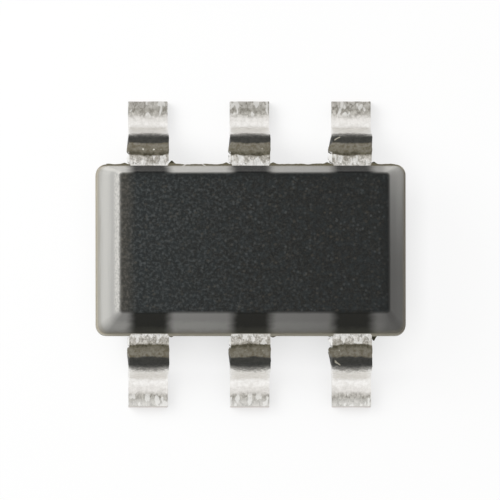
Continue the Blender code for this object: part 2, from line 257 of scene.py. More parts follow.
class Graph:
    """The shader nodes of a material or of the world."""

    def __init__(self, name: str, for_world: bool = False) -> None:
        """Starts a material, or a world, with no nodes but its output.

        Args:
            name: Its name.
            for_world: Whether it is a world.
        """
        kind, owners = ("World", bpy.data.worlds) if for_world else ("Material", bpy.data.materials)
        self.owner = owners.new(name)
        self.owner.use_nodes = True
        self.tree = self.owner.node_tree
        self.tree.nodes.clear()
        self.surface = self.tree.nodes.new(f"ShaderNodeOutput{kind}").inputs["Surface"]

    def node(
        self,
        kind: str,
        settings: dict | None = None,
        sockets: dict | None = None,
        output: str | int = 0,
    ) -> Socket:
        """Adds a node.

        Args:
            kind: Type of the node.
            settings: Its properties, which are set first. "stops" gives a colour ramp's stops.
            sockets: Values or links of its inputs, by their identifier, name or place.
            output: Name or place of the output that is returned.

        Returns:
            An output of the node.
        """
        made = self.tree.nodes.new(kind)
        for name, value in (settings or {}).items():
            if name == "stops":
                self.set_stops(made.color_ramp, value)
            else:
                setattr(made, name, value)
        for key, value in (sockets or {}).items():
            self.feed(self.find(made.inputs, key), value)
        return Socket(self, self.find(made.outputs, output))

    def set_stops(self, ramp: bpy.types.ColorRamp, rows: Stops) -> None:
        """Gives a colour ramp its stops.

        Args:
            ramp: The ramp, which has two stops when it is new.
            rows: A place from 0 to 1 and a colour for each stop.
        """
        while len(ramp.elements) < len(rows):
            ramp.elements.new(1.0)
        for element, (place, colour) in zip(ramp.elements, rows):
            element.position = place
            element.color = (*colour, 1.0)

    def find(
        self, group: bpy.types.NodeInputs | bpy.types.NodeOutputs, key: str | int
    ) -> bpy.types.NodeSocket:
        """Finds an input or output of a node.

        Args:
            group: The node's inputs or outputs.
            key: Its identifier, its name or its place among them.

        Returns:
            The input or output.
        """
        if isinstance(key, int):
            return group[key]
        return next((entry for entry in group if entry.identifier == key), group.get(key))

    def feed(self, entry: bpy.types.NodeSocket, value: "Socket | float | Sequence[float]") -> None:
        """Links a socket into an input, or sets the input's value.

        Args:
            entry: The input.
            value: A socket, a number, a vector or a colour.
        """
        if isinstance(value, Socket):
            self.tree.links.new(value.output, entry)
        elif entry.type == "RGBA":
            entry.default_value = (*value, 1.0)
        else:
            entry.default_value = value

    def maths(self, operation: str, *values: "Socket | float") -> Socket:
        """Result of a Math node, from the name of its operation and its inputs."""
        return self.node("ShaderNodeMath", {"operation": operation}, dict(enumerate(values)))

    def place(self) -> Socket:
        """Object coordinates, which on every piece are the part's own."""
        return self.node("ShaderNodeTexCoord", output="Object")

    def mix(self, share: Socket, first: "Socket | Colour", second: "Socket | Colour") -> Socket:
        """Goes from the first colour to the second as the share goes from 0 to 1."""
        sockets = {"Factor_Float": share, "A_Color": first, "B_Color": second}
        return self.node("ShaderNodeMix", {"data_type": "RGBA"}, sockets, "Result_Color")

    def paint(self, colour: Socket, *coats: "tuple[Socket, Socket | Colour]") -> Socket:
        """Lays coats over a colour.

        Args:
            colour: What lies under them.
            coats: A mask and a colour for each coat, the lowest first.

        Returns:
            The colour that shows.
        """
        for share, coat in coats:
            colour = self.mix(share, colour, coat)
        return colour

    def ramp(self, share: Socket, rows: Stops) -> Socket:
        """Reads a colour from a ramp of stops."""
        return self.node("ShaderNodeValToRGB", {"stops": rows}, {"Fac": share}, "Color")

    def bump(self, height: Socket, depth: float) -> Socket:
        """A normal that follows a height from 0 to 1, over a depth in metres."""
        return self.node("ShaderNodeBump", None, {"Height": height, "Distance": depth})

    def seen(self) -> Socket:
        """One for what the camera sees, directly or in metal or glass, and 0 for the light."""
        ray = self.node("ShaderNodeLightPath", output="Is Camera Ray")
        return ray.most(ray.beside("Is Glossy Ray")).most(ray.beside("Is Transmission Ray"))

    def shade(self, **sockets: "Socket | float | Sequence[float]") -> bpy.types.Material:
        """Ends the material in a Principled shader.

        Args:
            sockets: Its inputs by their names, with an underscore for each space.

        Returns:
            The material.
        """
        named = {name.replace("_", " "): value for name, value in sockets.items()}
        self.feed(self.surface, self.node("ShaderNodeBsdfPrincipled", None, named, "BSDF"))
        return self.owner

    def blend(
        self, share: Socket, first: Socket, second: Socket
    ) -> bpy.types.Material | bpy.types.World:
        """Ends in two shaders.

        Args:
            share: How much of the second shows.
            first: The first shader.
            second: The second shader.

        Returns:
            The material or world.
        """
        both = {0: share, 1: first, 2: second}
        self.feed(self.surface, self.node("ShaderNodeMixShader", None, both))
        return self.owner


@dataclass(frozen=True)
class Grain:
    """Cloudy noise, by the size of its grains, its finer layers and its stretch along each axis."""

    size: float
    layers: float = 2.0
    rough: float = 0.5
    stretch: tuple[float, ...] = EVEN

    def on(self, place: Socket) -> Socket:
        """Reads the noise at a place.

        Args:
            place: Object coordinates.

        Returns:
            A value from 0 to 1, mostly near the middle.
        """
        sockets = {
            "Vector": place.stretched(self.stretch),
            "Scale": 1 / (self.size * MM),
            "Detail": self.layers,
            "Roughness": self.rough,
        }
        return place.graph.node("ShaderNodeTexNoise", None, sockets)


@dataclass(frozen=True)
class Specks:
    """Scattered specks, some bright and some faint. Their radius is a share of their spacing."""

    spacing: float
    radius: float
    stretch: tuple[float, ...] = EVEN
    core: float = 0.4

    def on(self, place: Socket) -> Socket:
        """Reads the specks at a place.

        Args:
            place: Object coordinates.

        Returns:
            Up to 1 in the core of a speck, and 0 between them.
        """
        sockets = {"Vector": place.stretched(self.stretch), "Scale": 1 / (self.spacing * MM)}
        cell = place.graph.node("ShaderNodeTexVoronoi", None, sockets)
        luck = place.graph.node("ShaderNodeSeparateColor", None, {"Color": cell.beside("Color")})
        return cell.fade(self.radius, self.radius * self.core) * luck


@dataclass(frozen=True)
class TinPlate:
    """Matt tin on formed copper, with painted reflections in bright and dark bands along the lead.

    A band's place is the distance from the wall, plus a share of how far the lead has come down.
    """

    wall: float
    top: float
    pitch: float
    width: float
    fall: float = 0.25
    reach: float = 0.78
    # Colours along the lead from the wall out, ground between the flecks and crest on them: painted
    # reflections in bright and dark bands, with olive between.
    ground: Stops = stops(
        (0.000, 190, 186, 178), (0.018, 160, 155, 145), (0.074, 150, 145, 134),
        (0.086, 64, 60, 46), (0.106, 72, 68, 54), (0.122, 100, 94, 78),
        (0.202, 104, 97, 80), (0.214, 54, 54, 50), (0.275, 38, 38, 35),
        (0.315, 60, 60, 56), (0.350, 124, 122, 117), (0.388, 238, 236, 232),
        (0.470, 238, 236, 232), (0.600, 218, 215, 210), (0.640, 158, 154, 147),
        (0.685, 142, 139, 131), (0.710, 168, 165, 158), (0.780, 164, 161, 154),
    )
    crest: Stops = stops(
        (0.000, 248, 247, 244), (0.025, 240, 237, 232), (0.072, 218, 214, 206),
        (0.090, 108, 103, 86), (0.124, 136, 132, 119), (0.196, 142, 138, 127),
        (0.216, 70, 69, 65), (0.270, 58, 58, 54), (0.305, 88, 87, 82),
        (0.340, 160, 158, 153), (0.380, 254, 253, 251), (0.470, 254, 253, 251),
        (0.600, 238, 235, 231), (0.640, 212, 209, 202), (0.690, 186, 183, 175),
        (0.715, 210, 207, 201), (0.780, 212, 209, 203),
    )
    crease: Colour = tone(112, 108, 98)
    scratch: Colour = tone(176, 171, 156)
    dot: Colour = tone(222, 219, 210)
    bright: Colour = tone(246, 245, 242)

    # How the bands sway and curve.
    wobble: Grain = Grain(0.06, 3.0, 0.6)
    wobble_reach: float = 0.035
    curve_out: float = 0.35
    curve_in: float = 1.2
    curve_in_at: Band = (0.34, 0.06, 0.04)
    near_shift: float = 0.022
    near_shift_at: Fade = (0.22, 0.30)
    mottle: Grain = Grain(0.034, 4.0, 0.66)
    fleck_edge: Fade = (0.30, 0.70)
    ragged: float = 0.06
    ragged_at: Band = (0.35, 0.05, 0.05)

    # Creases and blisters, where the tin was worked most.
    foot_worked_at: Fade = (0.60, 0.66)
    foot_worked: float = 0.65
    root_worked_at: Fade = (0.085, 0.075)
    root_worked: float = 0.60
    crease_grain: Grain = Grain(0.060, 2.0, 0.55, (1.0, 1.8, 1.8))
    crease_line: Fade = (0.034, 0.0)
    blister_grain: Grain = Grain(0.050, 1.0, 0.5, (1.0, 1.9, 1.9))
    blister_edge: Fade = (0.54, 0.60)
    foot_at: Fade = (0.64, 0.70)
    # Painted highlight on the feet of the near leads, and painted shade on those of the far leads.
    near_foot_highlight: float = 0.34
    far_foot_shade: float = 0.20

    # A burr, a scratch on the leads to the right, and a row of tool marks with painted glints.
    burr_width: Fade = (0.001, 0.008)
    burr_at: Fade = (0.115, 0.085)
    scratch_start: tuple[float, float] = (-0.137, 0.262)
    scratch_slant: float = 0.9
    scratch_width: Band = (0.0, 0.010, 0.005)
    scratch_length: Band = (0.0, 0.026, 0.006)
    scratched_leads: Fade = (0.4, 0.5)
    dot_glints: Specks = Specks(0.05, 0.26, (1.0, 30.0, 30.0))
    dot_glints_at: Band = (0.142, 0.006, 0.005)
    dot_glints_gain: float = 1.6

    # Gloss and bumps.
    # The band of olive and painted dark reflections is made less metallic and rougher.
    dark_band_at: Band = (0.200, 0.105, 0.010)
    dark_band_on_metal: float = 0.35
    dark_band_roughness: float = 0.22
    roughness: float = 0.34
    fleck_roughness: float = 0.06
    fine: Grain = Grain(0.012, 3.0, 0.6)
    fleck_height: float = 0.8
    depth: float = 2.2 * MICRON

    def bands(self, place: Socket, mottle: Socket) -> Socket:
        """Measures along the lead, with the curve and the sway of the painted bands.

        Args:
            place: Object coordinates.
            mottle: The noise that makes the edge of the bright band ragged.

        Returns:
            The place of the bands, 0 at the wall.
        """
        x, y, z = place.axes()
        across = x.wrapped(self.pitch)
        squared = across * across
        near = 1 - y.fade(*FAR_SIDE)
        sway = self.wobble.on(place).swing(self.wobble_reach)
        along = abs(y) - self.wall + (self.top - z) * self.fall + sway - squared * self.curve_out
        along = along + squared * self.curve_in * along.band(*self.curve_in_at)
        along = along - near * along.fade(*self.near_shift_at) * self.near_shift
        return along + mottle.swing(self.ragged) * along.band(*self.ragged_at)

    def colour_at(self, along: Socket, rows: Stops) -> Socket:
        """Colour of a place of the bands, from stops at such places."""
        scaled = tuple((place / self.reach, colour) for place, colour in rows)
        return along.graph.ramp(along / self.reach, scaled)

    def scratch_on(self, across: Socket, along: Socket) -> Socket:
        """Masks one slanting scratch.

        Args:
            across: Distance from the middle of the lead.
            along: Place of the bands.

        Returns:
            1 on the scratch and 0 beside it.
        """
        start_across, start_along = self.scratch_start
        run = across - start_across
        off = along - start_along - run * self.scratch_slant
        return off.band(*self.scratch_width) * run.band(*self.scratch_length)

    def make(self) -> bpy.types.Material:
        """Builds the material.

        Returns:
            The material.
        """
        graph = Graph("tin_plate")
        place = graph.place()
        x, y, _ = place.axes()
        across = x.wrapped(self.pitch)
        far = y.fade(*FAR_SIDE)
        mottle = self.mottle.on(place)
        fleck = mottle.fade(*self.fleck_edge)
        along = self.bands(place, mottle)
        at_foot = along.fade(*self.foot_worked_at) * self.foot_worked
        worked = at_foot + along.fade(*self.root_worked_at) * self.root_worked
        crease = abs(self.crease_grain.on(place) - NOISE_MIDDLE).fade(*self.crease_line)
        blister = self.blister_grain.on(place).fade(*self.blister_edge)
        foot = along.fade(*self.foot_at)
        burr = (-self.width / 2 - across).fade(*self.burr_width) * along.fade(*self.burr_at)
        scratch = self.scratch_on(across, along) * x.fade(*self.scratched_leads)
        dot_glints = self.dot_glints.on(place) * along.band(*self.dot_glints_at) * self.dot_glints_gain
        dark_band = along.band(*self.dark_band_at)
        colour = graph.paint(
            # The bands of painted reflections, with flecks.
            graph.mix(fleck, self.colour_at(along, self.ground), self.colour_at(along, self.crest)),
            (crease * worked, self.crease),
            (blister * worked, self.bright),
            # Painted highlight on the near feet and painted shade on the far feet.
            (foot * (1 - far) * self.near_foot_highlight, self.bright),
            (foot * far * self.far_foot_shade, self.crease),
            (burr, self.bright),
            (scratch, self.scratch),
            # Tool marks painted as bright glints.
            (dot_glints.maths("MINIMUM", 1.0), self.dot),
        )
        rough = self.roughness + dark_band * self.dark_band_roughness + fleck.swing(self.fleck_roughness)
        height = self.fine.on(place) + fleck * self.fleck_height
        return graph.shade(
            Base_Color=colour,
            Metallic=1 - dark_band * self.dark_band_on_metal,
            Roughness=rough,
            Normal=graph.bump(height, self.depth),
        )


@dataclass(frozen=True)
class ShearedCopper:
    """The bare end of a lead, where the trim tool sheared the copper and smeared its tin."""

    copper: Colour = tone(166, 130, 108)
    burnish: Colour = tone(198, 170, 150)
    smear: Colour = tone(206, 203, 197)
    drag: Grain = Grain(0.02, 3.0, 0.6, (0.5, 1.0, 5.0))
    drag_edge: Fade = (0.35, 0.65)
    smear_sway: float = 0.06
    smeared_above: Fade = (0.015, 0.060)
    roughness: float = 0.30
    drag_roughness: float = 0.2
    depth: float = 2.0 * MICRON

    def make(self) -> bpy.types.Material:
        """Builds the material.

        Returns:
            The material.
        """
        graph = Graph("sheared_copper")
        place = graph.place()
        _, _, z = place.axes()
        drag = self.drag.on(place)
        colour = graph.mix(drag.fade(*self.drag_edge), self.copper, self.burnish)
        smeared = (z + drag.swing(self.smear_sway)).fade(*self.smeared_above)
        return graph.shade(
            Base_Color=graph.mix(smeared, colour, self.smear),
            Metallic=1.0,
            Roughness=self.roughness + drag * self.drag_roughness,
            Normal=graph.bump(drag, self.depth),
        )


@dataclass(frozen=True)
class TopFace:
    """The flat top of the body: matt black epoxy with glass grains, lighter to the left, dust along
    its left edge.
    """

    black: Colour = tone(25, 27, 27)
    brown: Colour = tone(43, 42, 39)
    slate: Colour = tone(40, 44, 45)
    glass: Colour = tone(98, 102, 102)
    dust: Colour = tone(92, 87, 78)
    fine: Grain = Grain(0.014, 3.0, 0.7)
    fine_edge: Fade = (0.35, 0.70)
    cloud: Grain = Grain(0.25, 3.0, 0.6)
    cloud_edge: Fade = (0.25, 0.70)
    blotch: Grain = Grain(0.055, 2.0, 0.6)
    blotch_edge: Fade = (0.42, 0.66)
    blotch_share: float = 0.55
    slate_to_left: Fade = (0.2, -1.4)
    slate_share: float = 0.5
    haze: Grain = Grain(0.030, 3.0, 0.65)
    haze_edge: Fade = (0.42, 0.82)
    haze_to_left: Fade = (1.0, -1.3)
    haze_gain: float = 0.42
    haze_least: float = 0.12
    glint: Specks = Specks(0.040, 0.44)
    glint_share: float = 0.36
    tan: Specks = Specks(0.052, 0.36, (1.1, 0.9, 1.0))
    tan_share: float = 0.26
    right_rim: Fade = (1.16, 1.27)
    far_rim: Fade = (0.60, 0.69)
    rim_share: float = 0.5
    left_rim: Fade = (-1.06, -1.20)
    left_rim_sway: float = 0.06
    dust_gain: float = 0.6
    dust_least: float = 0.25

    def colour(self, place: Socket) -> Socket:
        """Colour of the top.

        Args:
            place: Object coordinates.

        Returns:
            The colour.
        """
        graph = place.graph
        x, y, _ = place.axes()
        cloud = self.cloud.on(place)
        blotch = self.blotch.on(place).fade(*self.blotch_edge)
        haze = self.haze.on(place).fade(*self.haze_edge)
        hazy = haze * (x.fade(*self.haze_to_left) * self.haze_gain + self.haze_least)
        glint = self.glint.on(place) * cloud.fade(*self.cloud_edge)
        # Painted shade along the right and far edges of the top.
        rim = x.fade(*self.right_rim).most(y.fade(*self.far_rim))
        left_rim = (x + cloud.swing(self.left_rim_sway)).fade(*self.left_rim)
        return graph.paint(
            graph.mix(self.fine.on(place).fade(*self.fine_edge), self.black, self.brown),
            (blotch * self.blotch_share, self.slate),
            (x.fade(*self.slate_to_left) * self.slate_share, self.slate),
            (hazy, self.glass),
            (glint * self.glint_share, self.glass),
            (self.tan.on(place) * self.tan_share, self.dust),
            (rim * self.rim_share, self.black),
            (left_rim * (haze * self.dust_gain + self.dust_least), self.dust),
        )


@dataclass(frozen=True)
class DraftedWalls:
    """The drafted walls of the body: grey in painted light, with painted shade to the right and over
    the leads.

    Heights on them are read as on the upper half, also below the parting band.
    """

    level: float
    pitch: float
    lead_half: float
    # Painted light: grey for the white table mirrored at a grazing angle and for the lamp at the far
    # left, lighter in a band along the upper half and on the far wall.
    painted_wall_light: Colour = tone(158, 157, 154)
    polished: Colour = tone(174, 173, 169)
    far_wall_light: Colour = tone(200, 198, 193)
    # Painted shade: a darker grey towards the right and on the right end. It also darkens the lower
    # half.
    dark_grey: Colour = tone(84, 83, 80)
    resin: Colour = tone(138, 132, 115)
    shaded: Colour = tone(34, 34, 30)
    shaded_foot: Colour = tone(66, 66, 59)
    shaded_far: Colour = tone(5, 5, 5)
    streak: Grain = Grain(0.05, 2.0, 0.5, (1.0, 6.0, 1.0))
    streak_reach: float = 0.10
    light_band_at: Band = (0.89, 0.09, 0.07)
    right_end: Fade = (1.20, 1.30)
    far_from: Fade = (0.35, 0.85)
    far_share: float = 0.85
    side_shade_to_right: Fade = (-1.5, 1.5)
    side_shade: float = 0.64
    end_shade_from: Fade = (0.85, -0.30)
    end_shade: float = 0.86
    resin_below: Fade = (0.81, 0.72)
    resin_share: float = 0.5
    lower_half: Fade = (0.07, 0.10)
    lower_darkening: float = 0.8
    sway: Grain = Grain(0.12)
    sway_reach: float = 0.05
    lead_soft: float = 0.060
    shaded_foot_below: Fade = (0.92, 0.74)

    def colour(self, place: Socket, long_wall: Socket) -> tuple[Socket, Socket]:
        """Colour of the walls, with painted light and painted shade.

        Args:
            place: Object coordinates.
            long_wall: 1 on the long walls and 0 on the end walls.

        Returns:
            Their colour, and 1 where a wall stands over a lead.
        """
        graph = place.graph
        x, y, z = place.axes()
        height = abs(z - self.level) + self.level + self.streak.on(place).swing(self.streak_reach)
        right = x.fade(*self.right_end)
        far = y.fade(*self.far_from) * long_wall.most(right)
        # Painted shade, growing towards the right and on the right end.
        side_shade = x.fade(*self.side_shade_to_right) * (1 - right) * self.side_shade
        end_shade = right * y.fade(*self.end_shade_from) * self.end_shade
        lower = (self.level - z).fade(*self.lower_half)
        # Painted light on the walls, then painted shade to the right, olive resin by the parting
        # band, and darker grey below it.
        colour = graph.paint(
            graph.mix(height.band(*self.light_band_at), self.painted_wall_light, self.polished),
            (far * self.far_share, self.far_wall_light),
            (side_shade + end_shade, self.dark_grey),
            (height.fade(*self.resin_below) * self.resin_share, self.resin),
            (lower * self.lower_darkening, self.dark_grey),
        )
        beside_lead = abs(x.wrapped(self.pitch)) + self.sway.on(place).swing(self.sway_reach)
        soft_edge = self.lead_half + self.lead_soft, self.lead_half - self.lead_soft
        over_lead = beside_lead.fade(*soft_edge) * long_wall * (1 - lower)
        shade = graph.mix(height.fade(*self.shaded_foot_below), self.shaded, self.shaded_foot)
        shade = graph.mix(y.fade(*FAR_SIDE), shade, self.shaded_far)
        return graph.mix(over_lead, colour, shade), over_lead


@dataclass(frozen=True)
class MouldingCompound:
    """Black epoxy full of glass grains, with a seam of bare resin along the parting band."""

    wall: float
    level: float
    sheet: float
    walls: DraftedWalls
    top: TopFace = TopFace()
    seam: Colour = tone(104, 99, 82)
    near_seam: Colour = tone(172, 167, 152)
    end_seam_light: Colour = tone(168, 162, 148)
    chip: Colour = tone(58, 55, 42)
    # Pale colour of the flash slivers, and of the painted highlight along the left rim.
    flash_and_highlight: Colour = tone(196, 194, 189)
    sheen: Colour = tone(250, 248, 244)
    over_one: float = 1.0001
    wall_slope: Fade = (0.99, 0.40)
    long_wall_facing: Fade = (0.50, 0.85)
    left_facing: Fade = (-0.30, -0.60)
    seam_spread: float = 0.016
    seam_soft: float = 0.005
    near_seam_from: Fade = (-0.72, -0.78)
    end_seam_light_from: Fade = (1.36, 1.42)
    chip_from: Fade = (0.008, 0.018)
    slivers: tuple[tuple[float, float], ...] = ((-0.612, 1.05), (-0.445, -1.2))
    sliver_width: Band = (0.0, 0.010, 0.006)
    sliver_length: Band = (0.0, 0.030, 0.008)
    sliver_above: Fade = (0.690, 0.695)
    sliver_share: float = 0.8
    # A speckled painted highlight along the left rim of the top.
    highlight_speckle: Grain = Grain(0.022, 3.0, 0.6)
    highlight_speckle_edge: Fade = (0.36, 0.60)
    highlight_above: Fade = (1.05, 1.12)
    highlight_slope: Fade = (0.88, 0.50)
    highlight_from: Fade = (-0.66, -0.56)
    highlight_share: float = 0.75
    roughness: float = 0.55
    lead_roughness: float = 0.40
    depth: float = 2.0 * MICRON

    def seam_colour(self, x: Socket, y: Socket) -> Socket:
        """Colour of the parting band, with its near side, its ends and the chips that stand out.

        Args:
            x: X on the part.
            y: Y on the part.

        Returns:
            The colour.
        """
        graph = x.graph
        return graph.paint(
            graph.mix(y.fade(*self.near_seam_from), self.seam, self.near_seam),
            # Painted light: the seam is lighter at both ends, so that it stays light on the shaded
            # right end.
            (abs(x).fade(*self.end_seam_light_from), self.end_seam_light),
            ((abs(y) - self.wall).fade(*self.chip_from), self.chip),
        )

    def make(self) -> bpy.types.Material:
        """Builds the material.

        Returns:
            The material.
        """
        graph = Graph("moulding_compound")
        place = graph.place()
        x, y, z = place.axes()
        normal = graph.node("ShaderNodeTexCoord", output="Normal")
        facing = graph.node("ShaderNodeSeparateXYZ", None, {"Vector": normal})
        rise = abs(facing.beside("Z"))
        # A little over 1, because the square of a flat top's rise may round to more than 1.
        sideways = (self.over_one - rise * rise).maths("SQRT")
        long_wall = (abs(facing.beside("Y")) / sideways).fade(*self.long_wall_facing)
        wall = rise.fade(*self.wall_slope)
        painted_wall_light, over_lead = self.walls.colour(place, long_wall)
        half_seam = self.sheet / 2 + self.seam_spread
        coats = [((z - self.level).band(0.0, half_seam, self.seam_soft), self.seam_colour(x, y))]
        out = y - self.wall
        for start, slant in self.slivers:
            sliver = (x - start - out * slant).band(*self.sliver_width)
            sliver = sliver * out.band(*self.sliver_length) * z.fade(*self.sliver_above)
            coats.append((sliver * self.sliver_share, self.flash_and_highlight))
        # Painted highlight along the left rim, where it would catch the lamp at the far left.
        left_rim = facing.fade(*self.left_facing) * z.fade(*self.highlight_above)
        left_rim_highlight = left_rim * rise.fade(*self.highlight_slope) * y.fade(*self.highlight_from)
        highlight_speckle = self.highlight_speckle.on(place).fade(*self.highlight_speckle_edge)
        coats.append((left_rim_highlight * highlight_speckle * self.highlight_share, self.flash_and_highlight))
        return graph.shade(
            Base_Color=graph.paint(graph.mix(wall, self.top.colour(place), painted_wall_light), *coats),
            Roughness=self.roughness + wall * over_lead * self.lead_roughness,
            Specular_IOR_Level=0.14,
            Sheen_Weight=0.12,
            Sheen_Roughness=0.30,
            Sheen_Tint=self.sheen,
            Normal=graph.bump(self.top.fine.on(place), self.depth),
        )


@dataclass(frozen=True)
class Silicon:
    """The die: dark polished silicon with fine blocks of circuit on its top."""

    top: float
    saw_cut: Colour = tone(96, 98, 104)
    circuit: Colour = tone(70, 84, 98)
    metal: Colour = tone(150, 146, 128)
    block: float = 0.12
    block_edge: Fade = (0.2, 0.8)
    metal_share: float = 0.6
    top_layer: Fade = (-0.002, -0.001)
    roughness: float = 0.45
    polish: float = 0.25

    def make(self) -> bpy.types.Material:
        """Builds the material.

        Returns:
            The material.
        """
        graph = Graph("silicon_circuit")
        place = graph.place()
        _, _, z = place.axes()
        sockets = {"Vector": place, "Scale": 1 / (self.block * MM)}
        settings = {"distance": "CHEBYCHEV"}
        blocks = graph.node("ShaderNodeTexVoronoi", settings, sockets, "Color")
        luck = graph.node("ShaderNodeSeparateColor", None, {"Color": blocks})
        share = luck.fade(*self.block_edge) * self.metal_share
        on_top = (z - self.top).fade(*self.top_layer)
        return graph.shade(
            Base_Color=graph.mix(on_top, self.saw_cut, graph.mix(share, self.circuit, self.metal)),
            Metallic=0.6,
            Roughness=self.roughness - on_top * self.polish,
        )


@dataclass(frozen=True)
class FineMetal:
    """Metal, or glue full of it, in two tones, with a fine grain that also stands out as bumps."""

    name: str
    deep: Colour
    light: Colour
    grain: Grain
    edge: Fade
    metallic: float
    roughness: float
    depth: float

    def make(self) -> bpy.types.Material:
        """Builds the material.

        Returns:
            The material.
        """
        graph = Graph(self.name)
        grain = self.grain.on(graph.place())
        return graph.shade(
            Base_Color=graph.mix(grain.fade(*self.edge), self.deep, self.light),
            Metallic=self.metallic,
            Roughness=self.roughness,
            Normal=graph.bump(grain, self.depth),
        )


SILVER_GLUE = FineMetal(
    name="silver_glue",
    deep=tone(120, 116, 108),
    light=tone(188, 186, 180),
    grain=Grain(0.012, 2.0, 0.6),
    edge=(0.4, 0.6),
    metallic=0.4,
    roughness=0.55,
    depth=MICRON,
)
GOLD_WIRE = FineMetal(
    name="gold_wire",
    deep=tone(222, 168, 82),
    light=tone(246, 205, 122),
    grain=Grain(0.006, 2.0, 0.6, (1.0, 4.0, 1.0)),
    edge=(0.35, 0.65),
    metallic=1.0,
    roughness=0.24,
    depth=0.3 * MICRON,
)


def only_nothing() -> None:
    """Deselects every object, so that an operator acts on a new one alone."""
    bpy.ops.object.select_all(action="DESELECT")


def only(thing: bpy.types.Object) -> None:
    """Makes an object the only one selected, and the active one.

    Args:
        thing: The object.
    """
    only_nothing()
    thing.select_set(True)
    bpy.context.view_layer.objects.active = thing


def settle(thing: bpy.types.Object, name: str) -> bpy.types.Object:
    """Names an object and its mesh, and moves its place into its mesh.

    Args:
        thing: The object.
        name: Its new name.

    Returns:
        The object.
    """
    only(thing)
    bpy.ops.object.transform_apply(location=True, rotation=True, scale=True)
    thing.name = name
    thing.data.name = name
    return thing


def work_in(thing: bpy.types.Object, kind: str, **settings: object) -> None:
    """Adds a modifier to an object and applies it.

    Args:
        thing: The object.
        kind: Type of the modifier.
        settings: Properties of the modifier.
    """
    only(thing)
    made = thing.modifiers.new(kind.lower(), kind)
    for name, value in settings.items():
        setattr(made, name, value)
    bpy.ops.object.modifier_apply(modifier=made.name)


def smooth(thing: bpy.types.Object, angle: float) -> None:
    """Shades an object smooth except at edges sharper than an angle."""
    only(thing)
    bpy.ops.object.shade_smooth_by_angle(angle=angle)


def dress(thing: bpy.types.Object, *looks: bpy.types.Material) -> None:
    """Gives an object its materials in place of those it has.

    Args:
        thing: The object.
        looks: Its materials, in the order of their numbers on its faces.
    """
    thing.data.materials.clear()
    for look in looks:
        thing.data.materials.append(look)


def wander(place: Vector, size: float) -> float:
    """Smooth noise from -1 to 1 at a place, with grains of a size in metres."""
    return noise.noise(place / size)


def smooth_step(value: float, low: float, high: float) -> float:
    """Rises smoothly from 0 at low to 1 at high. Low may be the greater."""
    share = min(1.0, max(0.0, (value - low) / (high - low)))
    return share * share * (3 - 2 * share)


def between(value: float, run: tuple[float, ...]) -> float:
    """One on a run that begins and ends softly.

    Args:
        value: Where it is read.
        run: Its start, where it is full, where it starts to end, and its end.

    Returns:
        The share, from 0 to 1.
    """
    start, full, last, end = run
    return smooth_step(value, start, full) * smooth_step(value, end, last)


def tip_of(lead: bpy.types.Object) -> float:
    """Distance in Y from the middle of the body to the tip of a lead."""
    return max(abs(vertex.co.y) for vertex in lead.data.vertices)


class Part(Enum):
    """What a selection in edit mode is made of."""

    POINT = "VERT"
    EDGE = "EDGE"
    FACE = "FACE"


class Bench:
    """Edit mode on one object, in which edges, faces and points are picked by their place."""

    def __init__(self, thing: bpy.types.Object, part: Part = Part.EDGE) -> None:
        """Takes the object that is worked on, and what a selection is made of."""
        self.thing = thing
        self.part = part

    def __enter__(self) -> "Bench":
        """Enters edit mode with nothing selected.

        Returns:
            This bench.
        """
        only(self.thing)
        bpy.ops.object.mode_set(mode="EDIT")
        self.turn_to(self.part)
        bpy.ops.mesh.select_all(action="DESELECT")
        return self

    def __exit__(self, *error: object) -> None:
        """Goes back to object mode."""
        bpy.ops.object.mode_set(mode="OBJECT")

    def turn_to(self, part: Part) -> None:
        """Changes what a selection is made of."""
        self.part = part
        bpy.ops.mesh.select_mode(type=part.value)

    def pick_all(self) -> None:
        """Selects the whole mesh."""
        bpy.ops.mesh.select_all(action="SELECT")

    def pick(self, test: Callable[[Vector], bool]) -> None:
        """Selects just the edges, faces or points whose middle passes a test.

        Args:
            test: Is given the middle of each edge or face, or the place of each point.
        """
        made = bmesh.from_edit_mesh(self.thing.data)
        for item in (*made.verts, *made.edges, *made.faces):
            item.select = False
        if self.part is Part.FACE:
            found = [(face, face.calc_center_median()) for face in made.faces]
        elif self.part is Part.EDGE:
            found = [(edge, (edge.verts[0].co + edge.verts[1].co) / 2) for edge in made.edges]
        else:
            found = [(point, point.co) for point in made.verts]
        for item, middle in found:
            if test(middle):
                item.select = True
        made.select_flush_mode()
        bmesh.update_edit_mesh(self.thing.data)

    def pick_face(self, direction: Vector) -> None:
        """Selects just the face that lies farthest in a direction.

        Args:
            direction: The direction, of length 1.
        """
        made = bmesh.from_edit_mesh(self.thing.data)
        farthest = max(face.calc_center_median().dot(direction) for face in made.faces)
        self.pick(lambda middle: middle.dot(direction) > farthest - MICRON)


